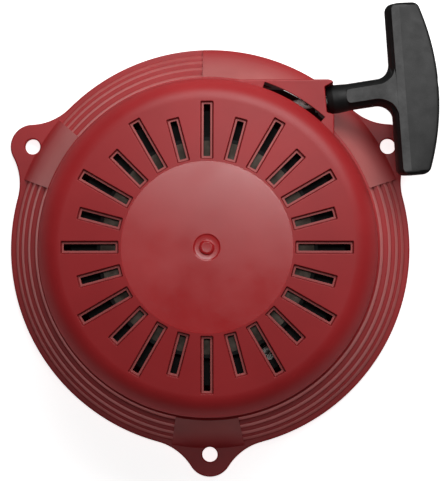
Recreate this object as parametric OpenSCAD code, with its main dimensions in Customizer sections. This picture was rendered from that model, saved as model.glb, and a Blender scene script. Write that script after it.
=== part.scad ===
// Recoil starter for a small vertical-shaft engine.
// It lies on its mounting face: z = 0 is that face, +Z runs up the crankshaft axis and out of
// the domed top. Pulling the T-handle turns the reel clockwise, seen from above.

/* [Case] */
// Radius of the round rim of the case
case_r = 88.4; // [86:0.2:108]
// Thickness of the rim flange and its ears
flange_t = 4; // [3:0.5:5]
// Height of the case over its mounting face
case_h = 52; // [51:0.2:64]
// Wall of the moulding
wall = 2.5; // [2:0.1:3]
// Radius of the flat disc at the middle of the dome
disc_r = 36.4; // [30:0.2:37]
// Fall of the dome from the flat disc to its shoulder
dome_fall = 2.5; // [1:0.1:3]
// Radius of the rounded shoulder
shoulder_r = 11; // [6:0.5:12]

/* [Skirt] */
// Number of terraces round the skirt
terraces = 4; // [3:1:5]
// Distance from the last riser in to the dome at its shoulder
dome_set = 2.5; // [1.6:0.1:3]
// Distance from the rim to the first riser
rim_w = 3.4; // [3:0.1:5]
// Width of the first tread
tread_w = 2.85; // [2.4:0.05:3]
// Growth of each tread over the one before it
tread_growth = 0.45; // [0:0.05:0.5]
// Rise over run of the skirt
skirt_slope = 1.515; // [1.2:0.005:1.6]
// Draft of each riser
riser_draft = 0.7; // [0.2:0.1:0.8]

/* [Fixing] */
// Distance from the rim out to the centre of each fixing hole
fixing_out = 2.6; // [1.6:0.1:5]
// Diameter of the fixing holes
fixing_d = 6.8; // [5:0.1:8]
// Radius of the tip of each ear
ear_r = 9.8; // [8:0.1:11]
// Radius of the hollow fillets beside each ear
ear_fillet = 25; // [15:1:30]

/* [Vents] */
// Number of vent slots, long and short in turn
vents = 24; // [12:2:24]
// Width of the opening of a vent
vent_w = 2.85; // [2:0.05:3.4]
// Radius at which the vents begin
vent_in = 38.6; // [38:0.1:42]
// Length of a long vent
vent_long = 22.2; // [16:0.1:23]
// Length of a short vent
vent_short = 16.6; // [12:0.1:20]
// Width of the sunk frame round each vent
vent_frame = 1.35; // [0.8:0.05:1.5]
// Depth of the sunk frame
vent_sink = 1.1; // [0.5:0.1:1.3]

/* [Outlet block] */
// Distance from the dome's radius in to the long side of the block
block_side = 0.4; // [-2:0.1:1]
// Distance from the dome's radius in to the end face of the block
block_end = 18.4; // [15:0.1:20]
// Height of the block's top face
block_h = 38.5; // [38:0.1:40]
// Radius of the block's upright corner
block_corner = 3; // [2:0.5:4]
// Angle from the direction of the rope back to the way that the pocket faces
pocket_lean = 3.8; // [0:0.1:6]

/* [Rope] */
// Diameter of the rope
rope_d = 4.5; // [3.8:0.1:5.4]
// Number of turns on the reel
rope_turns = 6; // [4:1:6]
// Radius of the outermost turn
wrap_r = 55; // [54:0.5:56]
// Height of the rope over the mounting face
rope_z = 31; // [30.5:0.1:31.2]

/* [Reel and spring] */
// Radius of the post that the reel turns on
post_r = 9; // [8:0.1:11]
// Thickness of the reel's flanges
reel_flange = 1.9; // [1.5:0.1:2.2]
// Radius of the drum that holds the spring
drum_r = 47; // [45:0.5:48.5]
// Height of the spring strip
strip_h = 9; // [8:0.1:9.2]
// Thickness of the spring strip
strip_t = 0.8; // [0.5:0.1:1]
// Number of turns of the spring
spring_turns = 7; // [5:1:9]

/* [Ratchets] */
// Distance from the reel's hub to the pivot of a ratchet
pivot_out = 7.5; // [7:0.1:8.5]
// Radius of a ratchet post
ratchet_post_r = 3.5; // [3:0.1:3.8]
// Thickness of a ratchet
ratchet_t = 5; // [4:0.1:5.5]
// How far a ratchet swings out
ratchet_swing = 24; // [18:1:24]
// How far the guide turns on the reel
guide_swing = 25; // [18:1:28]
// Distance from a ratchet's pivot to the edge of the guide
guide_out = 7.5; // [6.5:0.1:8.5]

/* [Handle] */
// Length of the T-bar
bar_l = 73.8; // [66:0.2:80]
// Thickness of the T-bar
bar_t = 15; // [14:0.5:17]
// Distance from the foot of the handle to the near side of the bar
stem_l = 27.6; // [24:0.2:34]
// Width of the bar at its middle
bar_w = 20.6; // [18:0.2:23]
// Width of the bar at its ends
bar_end_w = 14; // [11:0.2:16]
// Diameter of the stem
stem_d = 11.6; // [10.4:0.1:14]
// Angle by which the moulded bar leans off square to the stem
bar_lean = 4.5; // [0:0.5:6]

/* [Hidden] */
$fn = 96;
eps = 0.01;

// Clearances
run_gap = 0.08;   // radial gap of a running fit
move_gap = 0.4;   // gap between bodies that pass each other
seat_gap = 0.05;  // gap of a press or seated fit

// Ears stand at these angles, and smooth patches fill the terraces over these [start, end]
ear_angles = [30, 150, 270];
patches = [[20.5, 92], [139.5, 159.5], [259, 280]];

// Skirt: radius of riser i, and height of its foot
function riser_r(i) = case_r - rim_w - i * tread_w - tread_growth * i * (i - 1) / 2;
function riser_z(i) = flange_t + (riser_r(0) - riser_r(i)) * skirt_slope;
skirt_top = riser_z(terraces);
dome_r = riser_r(terraces - 1) - dome_set;
bolt_circle = 2 * (case_r + fixing_out);
rim_face = 5.8;                   // width of the mounting face round the rim
rim_in = case_r - rim_face;
dome_in = dome_r - wall + 0.7;    // inside of the dome where it meets the skirt
dome_foot_r = dome_r + 0.8;       // outside of the dome where it meets the skirt

// Dome: the shoulder arc runs from the wall to the gently sloping top
shoulder_z = case_h - dome_fall - shoulder_r;
top_tilt = atan2(dome_fall, dome_r - shoulder_r - disc_r);
gate_r = 5.55;
gate_sink = 0.3;
gate_nub_r = 3.25;
gate_nub_h = 0.6;
function shoulder(r) = [for (a = [0:9:90 - top_tilt])
    [dome_r - shoulder_r + r * cos(a), shoulder_z + r * sin(a)]];

// Rope: it leaves the outermost turn along a tangent and crosses the pocket at the outlet
foot_r = stem_d / 2 + 0.4;
block_x = dome_r - block_end;
block_y = dome_r - block_side;
outlet = [block_x - 3, block_y - foot_r - 2.43];
outlet_dist = norm(outlet);
rope_dir = atan2(outlet[1], outlet[0]) - asin(wrap_r / outlet_dist);
pocket_dir = rope_dir - pocket_lean;
rope_r = rope_d / 2;
turn_pitch = rope_d - 0.1;
rope_cross = 91.5 + rope_dir - acos(wrap_r / dome_r);  // where it passes through the dome wall
sight_half = 11.5;
tangent_l = sqrt(outlet_dist * outlet_dist - wrap_r * wrap_r);
run_start = sqrt(pow(wrap_r + rope_d + move_gap, 2) - wrap_r * wrap_r);

// Pocket for the foot of the handle, a funnel that is open on top
pocket_back = 0.6;
pocket_end_r = foot_r - 0.7;
pocket_flare = 0.42;
pocket_reach = 9;
pocket_wall = 3.4;
pocket_floor = 9;
hollow_r = max(rim_in, outlet_dist + 0.9);  // limit of the space behind the pocket
eyelet_r = 4.2;
eyelet_lip = 0.5;
eyelet_lip_t = 1.3;

// Reel levels
groove_w = rope_d + 0.7;
groove_floor = wrap_r - (rope_turns - 1) * turn_pitch - rope_r - 0.35;
reel_r = wrap_r + 4;
groove_lo = rope_z - groove_w / 2;
groove_hi = rope_z + groove_w / 2;
reel_lo = groove_lo - reel_flange;
well_z = groove_hi + reel_flange;
drum_top = well_z + strip_h + 1.3;
drum_wall = 3.5;
cover_t = 0.8;
hub_r = post_r + 3.5;
pivot_r = hub_r + pivot_out;
guide_r = pivot_r + guide_out;
bed_z = reel_lo - 4.5;
bed_r = guide_r - 0.5;
rib_t = 1.6;
cover_lip = 1.5;                  // width of the rebate that the cover sits in
cover_hole_at = drum_r - 17;      // where the cover has its four small holes
knot_at = guide_r - 6.5;          // where the inner knot of the rope sits

// Spring: its first and last radius
spring_in = post_r + 1.2;
spring_out = drum_r - drum_wall - strip_t - 0.4;
spring_steps = spring_turns * 20;

// Ratchet and guide levels
post_end = 15;
guide_lo = 10.6;
guide_t = 3;
ratchet_z = guide_lo + guide_t + move_gap;
peg_r = 1.5;
peg_arm = 6.5;
collar_r = 5;
washer_t = 1.2;
washer_r = 9;
head_h = 4.2;
head_flange_h = 1.2;
head_flange_r = 7;
head_hex_r = 5.8;
collar_lo = 8.2;
guide_hub_r = collar_r + 3;
friction_wire = 0.6;
spring_wire = 0.45;
spring_leg = 7;
insert_r = 4;
insert_l = 14;
thread_r = 3;

// Handle
foot_l = 7;
foot_taper = 2.6;
grip_step = 1.8;                  // bevel round the faces of the bar
arc_sag = bar_w - bar_end_w;
arc_r = (pow(bar_l / 2, 2) + arc_sag * arc_sag) / (2 * arc_sag);
knot_r = 4.2;
knot_hole_r = 5.5;
knot_seat = stem_l + 7;

// Colours
red = [0.62, 0.16, 0.17];
black = [0.13, 0.13, 0.14];
rope_white = [0.82, 0.80, 0.76];
zinc = [0.72, 0.73, 0.74];
spring_steel = [0.40, 0.42, 0.45];
brass = [0.72, 0.60, 0.30];

// ---------- case ----------

// Ear, with hollow fillets tangent to the rim and to the tip
module ear_plan() {
    reach = bolt_circle / 2;
    far = case_r + ear_fillet;
    near = ear_r + ear_fillet;
    turn = acos((far * far + reach * reach - near * near) / (2 * far * reach));
    difference() {
        polygon([[0, 0], far * [cos(turn), -sin(turn)], [reach, 0], far * [cos(turn), sin(turn)]]);
        for (side = [-1, 1]) {
            translate(far * [cos(turn), side * sin(turn)]) circle(r = ear_fillet);
        }
    }
    translate([reach, 0]) circle(r = ear_r);
}

module rim_plan() {
    circle(r = case_r);
    for (a = ear_angles) rotate(a) ear_plan();
}

// Half section of the solid dome and its terraced skirt
module outer_section() {
    polygon(concat(
        [[0, 0], [case_r, 0], [case_r, flange_t]],
        [for (i = [0:terraces - 1], top = [0, 1])
            [riser_r(i) + (top == 0 ? riser_draft : -riser_draft), riser_z(i + top)]],
        [[dome_foot_r, skirt_top]],
        shoulder(shoulder_r),
        [[disc_r, case_h], [0, case_h]]));
}

// Half section of the space inside
module inner_section() {
    polygon(concat(
        [[0, -1], [rim_in, -1], [rim_in, flange_t], [dome_in, skirt_top - 3.4]],
        shoulder(shoulder_r - wall),
        [[disc_r, case_h - wall], [0, case_h - wall]]));
}

// Smooth cone that covers the terraces
module patch_section() {
    proud = 0.15;
    patch_foot = 2.2;
    polygon([
        [riser_r(0) + patch_foot, flange_t - eps],
        [riser_r(0) - riser_draft + proud, riser_z(1)],
        [riser_r(terraces - 1) - riser_draft + proud, skirt_top],
        [dome_foot_r - 1, skirt_top],
        [riser_r(1) - 2, flange_t]]);
}

// Plan of the outlet block, inset by d
module block_plan(d) {
    x = block_x - d;
    y = block_y - d;
    r = max(block_corner - d, 0.5);
    translate([5, 40]) square([x - 5, y - 40 - r]);
    translate([5, 40]) square([x - 5 - r, y - 40]);
    translate([x - r, y - r]) circle(r = r);
}

module at_outlet(dir) {
    translate([outlet[0], outlet[1], rope_z]) rotate(dir) children();
}

// The funnel that the foot of the handle sits in, open on top
module pocket() {
    back = -pocket_back;
    r1 = pocket_end_r + pocket_flare * pocket_reach;
    at_outlet(pocket_dir) {
        translate([back, 0, 0]) rotate([0, 90, 0]) cylinder(h = pocket_reach, r1 = pocket_end_r, r2 = r1);
        linear_extrude(case_h) {
            polygon([[back, -pocket_end_r], [back + pocket_reach, -r1],
                [back + pocket_reach, r1], [back, pocket_end_r]]);
        }
        translate([back - pocket_wall - 1, 0, 0]) rotate([0, 90, 0]) {
            cylinder(h = pocket_wall + 2, r = eyelet_r + seat_gap);
        }
    }
}

// Space inside the block: full width under the pocket, and behind its back wall above that
module block_hollow() {
    low_h = rope_z - pocket_floor;
    intersection() {
        union() {
            translate([0, 0, -1]) linear_extrude(low_h + 1) block_plan(wall);
            difference() {
                translate([0, 0, -1]) linear_extrude(block_h - wall + 1) block_plan(wall);
                at_outlet(pocket_dir) {
                    translate([-pocket_back - pocket_wall, -40, low_h - rope_z]) cube([40, 80, 40]);
                }
            }
        }
        union() {
            translate([0, 0, -2]) cylinder(h = case_h, r = rim_in);
            translate([0, 0, flange_t + wall]) cylinder(h = case_h, r = hollow_r);
        }
    }
}

// Straight slot along a radius, as a box
module radial_slot(r1, length, w, z, h) {
    translate([r1, -w / 2, z]) cube([length, w, h]);
}

// Vents: each has a sunk frame that follows the slope of the dome and a narrow opening
module vent_slots() {
    for (i = [0:vents - 1]) {
        length = i % 2 == 0 ? vent_long : vent_short;
        rotate(i * 360 / vents) {
            radial_slot(vent_in, length, vent_w, skirt_top, case_h);
            translate([disc_r, 0, case_h - vent_sink]) rotate([0, top_tilt, 0]) {
                radial_slot(vent_in - vent_frame - disc_r, length + 2 * vent_frame,
                    vent_w + 2 * vent_frame, 0, 8);
            }
        }
    }
}

// Sight slot in the top of the block, along the dome wall
module sight_slot() {
    rotate_extrude(angle = 2 * sight_half, start = rope_cross - sight_half) {
        translate([dome_r - 0.2, block_h - wall - 2]) square([2.8, wall + 4]);
    }
}

// Opening through the dome wall for the rope
module rope_window() {
    rotate_extrude(angle = 2 * sight_half + 4, start = rope_cross - sight_half - 2) {
        translate([dome_r - 6, rope_z - 9]) square([8.5, block_h - wall - rope_z + 9]);
    }
}

// Round dish left at the middle of the disc, with a low nub in it
module gate_mark() {
    translate([0, 0, case_h - gate_sink]) cylinder(h = 2, r = gate_r);
}

module starter_case() {
    color(red) {
        difference() {
            union() {
                rotate_extrude() outer_section();
                linear_extrude(flange_t) rim_plan();
                for (p = patches) rotate_extrude(angle = p[1] - p[0], start = p[0]) patch_section();
                linear_extrude(block_h) block_plan(0);
            }
            rotate_extrude() inner_section();
            block_hollow();
            rope_window();
            sight_slot();
            pocket();
            vent_slots();
            gate_mark();
            for (a = ear_angles) {
                rotate(a) translate([bolt_circle / 2, 0, -1]) cylinder(h = flange_t + 2, d = fixing_d);
            }
        }
        translate([0, 0, case_h - gate_sink - eps]) cylinder(h = gate_nub_h, r = gate_nub_r);
        case_ribs();
        spring_post();
    }
}

// Upright ribs inside the dome wall, clear of the rope window
module case_ribs() {
    for (i = [0:11]) {
        rotate(15 + i * 30) {
            translate([dome_r - wall - 3, -rib_t / 2, skirt_top]) {
                cube([3.5, rib_t, shoulder_z - skirt_top + 4]);
            }
        }
    }
}

// Post that carries the reel, slit for the inner end of the spring and bored for the insert
module spring_post() {
    difference() {
        translate([0, 0, post_end]) cylinder(h = case_h - wall - post_end + 0.5, r = post_r);
        translate([0, 0, post_end - 1]) cylinder(h = insert_l + 1, r = insert_r + seat_gap);
        translate([post_r - 3, -0.7, well_z]) cube([4, 1.4, strip_h + 1]);
    }
}

module rope_eyelet() {
    back = -pocket_back - pocket_wall;
    color(zinc) at_outlet(pocket_dir) rotate([0, 90, 0]) {
        difference() {
            union() {
                translate([0, 0, back]) cylinder(h = pocket_wall - 0.1, r = eyelet_r);
                translate([0, 0, back - eyelet_lip_t]) cylinder(h = eyelet_lip_t, r = eyelet_r + eyelet_lip);
            }
            translate([0, 0, back - 2]) cylinder(h = pocket_wall + 3, r = rope_r + 0.65);
        }
    }
}

module threaded_insert() {
    color(brass) translate([0, 0, post_end]) {
        difference() {
            cylinder(h = insert_l - 0.2, r = insert_r);
            translate([0, 0, -1]) cylinder(h = insert_l + 2, r = thread_r + seat_gap);
        }
    }
}

// ---------- centre fixing ----------

module centre_screw() {
    head_lo = collar_lo - washer_t - head_h;
    shank = washer_t + post_end - collar_lo + insert_l - 2;
    color(zinc) translate([0, 0, head_lo]) {
        difference() {
            union() {
                cylinder(h = head_h - head_flange_h + eps, r = head_hex_r, $fn = 6);
                translate([0, 0, head_h - head_flange_h]) cylinder(h = head_flange_h, r = head_flange_r);
                cylinder(h = head_h + shank, r = thread_r);
            }
            translate([0, 0, -1]) cylinder(h = 1.8, r = 3.6);
        }
    }
}

module screw_washer() {
    color(zinc) translate([0, 0, collar_lo - washer_t]) {
        difference() {
            cylinder(h = washer_t, r = washer_r);
            translate([0, 0, -1]) cylinder(h = washer_t + 2, r = thread_r + 0.2);
        }
    }
}

module guide_collar() {
    color(zinc) translate([0, 0, collar_lo]) {
        difference() {
            cylinder(h = post_end - collar_lo, r = collar_r);
            translate([0, 0, -1]) cylinder(h = post_end, r = thread_r + 0.1);
        }
    }
}

// ---------- ratchets ----------

// Cam slot of the guide: the way that a ratchet's peg takes, seen from the guide
function peg_at(s) = let (a = s * ratchet_swing, g = -s * guide_swing,
        x = pivot_r + peg_arm * sin(a), y = -peg_arm * cos(a))
    [x * cos(g) - y * sin(g), x * sin(g) + y * cos(g)];

module cam_slot() {
    r = peg_r + move_gap;
    for (i = [0:2]) {
        hull() {
            translate(peg_at(i / 3)) circle(r = r, $fn = 32);
            translate(peg_at((i + 1) / 3)) circle(r = r, $fn = 32);
        }
    }
}

module ratchet_guide() {
    color(black) difference() {
        union() {
            translate([0, 0, guide_lo]) cylinder(h = guide_t, r = guide_r);
            translate([0, 0, collar_lo + 0.2]) cylinder(h = guide_lo - collar_lo, r = guide_hub_r);
        }
        translate([0, 0, collar_lo - 1]) cylinder(h = 10, r = collar_r + run_gap);
        for (a = [0, 180]) {
            rotate(a) translate([0, 0, guide_lo - 1]) linear_extrude(guide_t + 2) cam_slot();
        }
    }
}

// Open wire ring that grips the hub of the guide, with its two ends turned outwards
module friction_spring() {
    wire = friction_wire;
    ring = guide_hub_r + wire + seat_gap;
    color(spring_steel) translate([0, 0, collar_lo + 1.2]) {
        rotate_extrude(angle = 300, start = 30) translate([ring, 0]) circle(r = wire);
        for (a = [34, 326]) rotate(a) translate([ring, 0, 0]) rotate([0, 90, 0]) cylinder(h = 5, r = wire);
    }
}

module ratchet() {
    color(zinc) difference() {
        union() {
            translate([0, 0, ratchet_z]) linear_extrude(ratchet_t) {
                translate([pivot_r, 0]) circle(r = 5.6);
                polygon([[pivot_r - 5.4, 0], [pivot_r + 5.4, 0], [pivot_r + 3.6, -12.5],
                    [pivot_r + 2.1, -15.3], [pivot_r + 0.6, -16.9], [pivot_r - 3.2, -15.2]]);
            }
            translate([pivot_r, -peg_arm, guide_lo + 0.6]) {
                cylinder(h = ratchet_z - guide_lo, r = peg_r);
            }
        }
        translate([pivot_r, 0, ratchet_z - 1]) cylinder(h = ratchet_t + 2, r = ratchet_post_r + run_gap);
    }
}

module ratchet_a() {
    ratchet();
}

module ratchet_b() {
    rotate(180) ratchet();
}

// Torsion spring over a ratchet, with one leg along the ratchet and one inwards
module ratchet_spring() {
    wire = spring_wire;
    ring = ratchet_post_r + wire + 0.5;
    hub_leg = sqrt(pow(pivot_out - wire - move_gap, 2) - ring * ring);
    color(spring_steel) translate([pivot_r, 0, ratchet_z + ratchet_t + wire + 0.1]) {
        rotate_extrude() {
            for (i = [0, 1]) translate([ring, i * 1.8 * wire]) circle(r = wire);
        }
        translate([ring, 0, 0]) rotate([90, 0, 0]) cylinder(h = spring_leg, r = wire);
        translate([0, ring, 1.8 * wire]) rotate([0, -90, 0]) cylinder(h = hub_leg, r = wire);
    }
}

module ratchet_spring_a() {
    ratchet_spring();
}

module ratchet_spring_b() {
    rotate(180) ratchet_spring();
}

// ---------- reel ----------

module reel_section() {
    polygon([
        [post_r + run_gap, ratchet_z], [hub_r, ratchet_z], [hub_r, bed_z], [bed_r, bed_z],
        [bed_r, reel_lo], [reel_r, reel_lo], [reel_r, groove_lo], [groove_floor, groove_lo],
        [groove_floor, groove_hi], [reel_r, groove_hi], [reel_r, well_z], [drum_r, well_z],
        [drum_r, drum_top], [drum_r - cover_lip, drum_top], [drum_r - cover_lip, drum_top - cover_t],
        [drum_r - drum_wall, drum_top - cover_t],
        [drum_r - drum_wall, well_z], [post_r + run_gap, well_z]]);
}

module reel() {
    color(black) difference() {
        union() {
            rotate_extrude() reel_section();
            for (i = [0:11]) {
                rotate(15 + i * 30) {
                    translate([bed_r - 1, -rib_t / 2, reel_lo - 2.2]) {
                        cube([reel_r - bed_r - 1, rib_t, 2.3]);
                    }
                }
            }
            for (a = [0, 180]) {
                rotate(a) translate([pivot_r, 0, ratchet_z + 0.5]) {
                    cylinder(h = bed_z - ratchet_z, r = ratchet_post_r);
                }
            }
        }
        // pocket for the inner knot, and the passage from it to the groove
        rotate(90) {
            translate([knot_at, 0, bed_z - 1]) cylinder(h = groove_hi - bed_z, r = 5);
            translate([knot_at, 0, rope_z]) rotate([0, 90, 0]) {
                cylinder(h = groove_floor - knot_at + 1, r = rope_r + 0.2);
            }
        }
        // hole that the rope is threaded through beside the drum
        rotate(-60) translate([drum_r + 4.5, 0, groove_hi - 1]) cylinder(h = reel_flange + 2, r = 3.4);
        // slit for the outer end of the spring
        translate([drum_r - drum_wall - 1, -0.7, well_z + 0.2]) cube([3.2, 1.4, strip_h + 0.2]);
    }
}

// Pressed plate over the spring well, seated in a rebate of the drum
module spring_cover() {
    color(spring_steel) translate([0, 0, drum_top - cover_t]) {
        difference() {
            cylinder(h = cover_t, r = drum_r - cover_lip - seat_gap);
            translate([0, 0, -1]) cylinder(h = cover_t + 2, r = post_r + 1);
            for (a = [45:90:315]) {
                rotate(a) translate([cover_hole_at, 0, -1]) cylinder(h = cover_t + 2, r = 2);
            }
        }
    }
}

// Spiral strip: the radius grows from the post to the drum, faster at the start
function spiral_r(s) = spring_in + (spring_out - spring_in) * pow(s, 0.8);
function spiral_at(s, side) = let (a = s * 360 * spring_turns, r = spiral_r(s) + side * strip_t / 2)
    [r * cos(a), r * sin(a)];

module recoil_spring() {
    outline = concat(
        [for (i = [0:spring_steps]) spiral_at(i / spring_steps, 1)],
        [for (i = [spring_steps:-1:0]) spiral_at(i / spring_steps, -1)]);
    color(spring_steel) translate([0, 0, well_z + 0.3]) linear_extrude(strip_h) {
        polygon(outline);
        translate([post_r - 2.4, -strip_t / 2]) square([spring_in - post_r + 2.4, strip_t]);
        translate([spring_out, -strip_t / 2]) square([strip_t + 1.9, strip_t]);
    }
}

// ---------- rope ----------

// The turns on the reel, as one ring of round ridges
module rope_wound() {
    color(rope_white) rotate_extrude() {
        for (i = [0:rope_turns - 1]) {
            translate([wrap_r - i * turn_pitch, rope_z]) circle(r = rope_r, $fn = 48);
        }
    }
}

// Inner end of the rope, knotted in its pocket in the reel
module rope_knot_reel() {
    color(rope_white) rotate(90) translate([knot_at, 0, rope_z]) {
        translate([0, 0, -2.6]) sphere(r = 4, $fn = 48);
        rotate([0, 90, 0]) cylinder(h = groove_floor - knot_at + 0.3, r = rope_r);
    }
}

// Straight stretch from the reel to the knot in the handle
module rope_run() {
    from = run_start - tangent_l;
    color(rope_white) at_outlet(rope_dir) translate([from, 0, 0]) rotate([0, 90, 0]) {
        cylinder(h = knot_seat + 3 - from, r = rope_r);
    }
}

module rope_knot_handle() {
    color(rope_white) at_outlet(rope_dir) translate([knot_seat + 1.2 + knot_r, 0, 0]) {
        difference() {
            sphere(r = knot_r, $fn = 48);
            rotate([0, -90, 0]) cylinder(h = 2 * knot_r, r = rope_r + seat_gap);
        }
    }
}

module knot_washer() {
    color(zinc) at_outlet(rope_dir) translate([knot_seat + 0.1, 0, 0]) rotate([0, 90, 0]) {
        difference() {
            cylinder(h = 1, r = knot_hole_r - 0.3);
            translate([0, 0, -1]) cylinder(h = 3, r = rope_r + 0.2);
        }
    }
}

// ---------- handle ----------

// Outline of the T-bar: straight near side, square ends, bowed far side, inset by d
module bar_plan(d) {
    half = bar_l / 2 - d;
    r = 3;
    intersection() {
        translate([stem_l + bar_w - arc_r, 0]) circle(r = arc_r - d, $fn = 240);
        union() {
            translate([stem_l + d, r - half]) square([bar_w, 2 * (half - r)]);
            translate([stem_l + d + r, -half]) square([bar_w, 2 * half]);
            for (side = [-1, 1]) {
                translate([stem_l + d + r, side * (half - r)]) circle(r = r);
            }
        }
    }
}

// Turns the bar about the middle of its near side
module leaned() {
    translate([stem_l, 0, 0]) rotate(-bar_lean) translate([-stem_l, 0, 0]) children();
}

module stem_fillet(side) {
    r = 6;
    d = stem_d / 2 - 0.6;
    translate([0, 0, -d + 1]) linear_extrude(2 * d - 2) difference() {
        translate([stem_l - r, side > 0 ? 0 : -d - r]) square([r + 4, d + r]);
        translate([stem_l - r, side * (d + r)]) circle(r = r);
    }
}

module handle_grip() {
    step = grip_step;
    color(black) at_outlet(rope_dir) difference() {
        union() {
            leaned() {
                translate([0, 0, -bar_t / 2 + step]) linear_extrude(bar_t - 2 * step) bar_plan(0);
                translate([0, 0, -bar_t / 2]) linear_extrude(bar_t) bar_plan(step);
            }
            rotate([0, 90, 0]) {
                translate([0, 0, foot_taper]) cylinder(h = stem_l + 4 - foot_taper, d = stem_d);
                cylinder(h = foot_taper, r1 = foot_r - 1.1, r2 = foot_r);
                translate([0, 0, foot_taper]) cylinder(h = foot_l - foot_taper, r = foot_r);
            }
            for (side = [-1, 1]) stem_fillet(side);
        }
        translate([-1, 0, 0]) rotate([0, 90, 0]) cylinder(h = stem_l + 20, r = rope_r + 0.2);
        translate([knot_seat, 0, 0]) rotate([0, 90, 0]) cylinder(h = 40, r = knot_hole_r);
    }
}

starter_case();
rope_eyelet();
threaded_insert();
centre_screw();
screw_washer();
guide_collar();
friction_spring();
ratchet_guide();
ratchet_a();
ratchet_b();
ratchet_spring_a();
ratchet_spring_b();
reel();
spring_cover();
recoil_spring();
rope_wound();
rope_knot_reel();
rope_run();
rope_knot_handle();
knot_washer();
handle_grip();
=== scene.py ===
"""Visual model of a recoil starter: the red case, the black T-handle, the rope and the small hardware.

Shapes are in millimetres, in the frame of the part, and become metres when a mesh is made. Materials, lights
and the camera are in metres.
"""
import math

import bmesh
import bpy
from mathutils import Matrix, Vector


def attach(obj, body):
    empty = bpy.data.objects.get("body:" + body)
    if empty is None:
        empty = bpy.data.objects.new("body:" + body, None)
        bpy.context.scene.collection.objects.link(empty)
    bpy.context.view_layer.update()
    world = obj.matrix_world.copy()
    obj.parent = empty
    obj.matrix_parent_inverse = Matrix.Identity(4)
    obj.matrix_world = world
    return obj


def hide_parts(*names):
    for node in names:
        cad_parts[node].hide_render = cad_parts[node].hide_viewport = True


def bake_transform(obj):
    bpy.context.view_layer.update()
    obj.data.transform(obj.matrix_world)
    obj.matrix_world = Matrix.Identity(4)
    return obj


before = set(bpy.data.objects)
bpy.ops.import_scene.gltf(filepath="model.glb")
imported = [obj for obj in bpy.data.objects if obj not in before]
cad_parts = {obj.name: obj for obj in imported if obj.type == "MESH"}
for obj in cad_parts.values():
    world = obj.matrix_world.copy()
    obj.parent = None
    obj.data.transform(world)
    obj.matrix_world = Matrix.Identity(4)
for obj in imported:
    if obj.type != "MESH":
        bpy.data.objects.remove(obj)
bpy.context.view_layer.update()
MM = 0.001

# ---------- sizes of the part, in mm and degrees ----------

# case: the rim, the dome with its flat disc, and the rounded shoulder
CASE_R, FLANGE_T, CASE_H, WALL = 88.4, 4.0, 52.0, 2.5
DISC_R, DOME_R, DOME_FALL, SHOULDER_R = 36.4, 72.6, 2.5, 11.0
RIM_IN, DOME_IN = 82.6, 70.8
SHOULDER_Z = CASE_H - DOME_FALL - SHOULDER_R
TOP_RUN = DOME_R - SHOULDER_R - DISC_R
TOP_TILT = math.degrees(math.atan2(DOME_FALL, TOP_RUN))
# terraces as (radius, height of the foot), the smooth patches over them as (from, to), and the angle past
# which a patch gets a darker red, painted shade
RISERS = [(85.0, 4.0), (82.15, 8.32), (78.85, 13.32), (75.1, 19.0)]
SKIRT_TOP, RISER_DRAFT, DOME_FOOT_R = 25.36, 0.7, 73.4
PATCHES = [(20.5, 92), (139.5, 159.5), (259, 280)]
SHADED_PATCHES_FROM = 200
# ears with the fixing holes
EAR_ANGLES, BOLT_R, EAR_R, EAR_FILLET, FIXING_R = (30, 150, 270), 91.0, 9.8, 25.0, 3.4
# vents, long and short by turns, in sunk frames; ribs under the shoulder; gate mark
VENTS, VENT_IN, VENT_W, VENT_LONG, VENT_SHORT = 24, 38.6, 2.85, 22.2, 16.6
VENT_FRAME, VENT_SINK, VENT_STEP = 1.35, 1.1, 15
RIBS, RIB_HALF_T, DISH_R, NUB_R = 12, 0.8, 5.75, 3.35
# block for the outlet, its hollow, and the openings between it and the dome, as half angles
BLOCK_X, BLOCK_Y, BLOCK_H, BLOCK_CORNER, BLOCK_ROOT = 54.2, 72.2, 38.5, 3.0, (5, 40)
OUTLET, ROPE_Z, HOLLOW_DROP = (51.2, 63.57), 31.0, 9
ROPE_DIR, POCKET_DIR = 8.7894, 4.9894
POCKET_BACK, POCKET_END_R, POCKET_FLARE, POCKET_REACH, POCKET_WALL = 0.6, 5.5, 0.42, 9.0, 3.4
EYELET_HOLE_R, WINDOW_HALF, SIGHT_HALF = 4.25, 13.5, 11.5
# post with the bore for its insert, and the well of the recoil spring
POST_R, POST_END, WELL_Z, INSERT_R, INSERT_L, SLIT_HALF = 9.0, 15.0, 35.5, 4.05, 14, 0.7
# rope: the turns on the reel, and the run from where it leaves them
ROPE_R, WRAP_R, TURN_PITCH, TURNS = 2.25, 55.0, 4.4, 6
TANGENT_L, BRAID_PITCH = 60.3, 6.0
# handle, along the rope from the outlet
HANDLE_W, BAR_HALF, BAR_T, BAR_END_W, STEM_L, STEM_R, BAR_LEAN = 20.6, 36.9, 15.0, 14.0, 27.6, 5.8, 4.5
CREASE, FOOT_L = STEM_L + 6.2, 8.4
KNOT_U, KNOT_HOLE_R, ROPE_BORE_R, KNOT_SEAT = 40.0, 5.5, 2.5, 5.4
# strip of the recoil spring
STRIP_T, STRIP_H, SPRING_TURNS, SPRING_IN, SPRING_OUT = 0.8, 9.0, 7, 10.2, 42.3


# ---------- mesh helpers ----------

def add_object(name, data):
    obj = bpy.data.objects.new(name, data)
    bpy.context.scene.collection.objects.link(obj)
    return obj


def face_outwards(mesh):
    bm = bmesh.new()
    bm.from_mesh(mesh)
    bmesh.ops.recalc_face_normals(bm, faces=bm.faces)
    bm.to_mesh(mesh)
    bm.free()


def make(name, verts, faces):
    """Mesh object from vertices in mm, with its normals facing outwards."""
    mesh = bpy.data.meshes.new(name)
    mesh.from_pydata([tuple(c * MM for c in v) for v in verts], [], faces)
    face_outwards(mesh)
    return add_object(name, mesh)


def polar(r, angle):
    """Point at a radius and an angle in degrees."""
    return r * math.cos(math.radians(angle)), r * math.sin(math.radians(angle))


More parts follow.
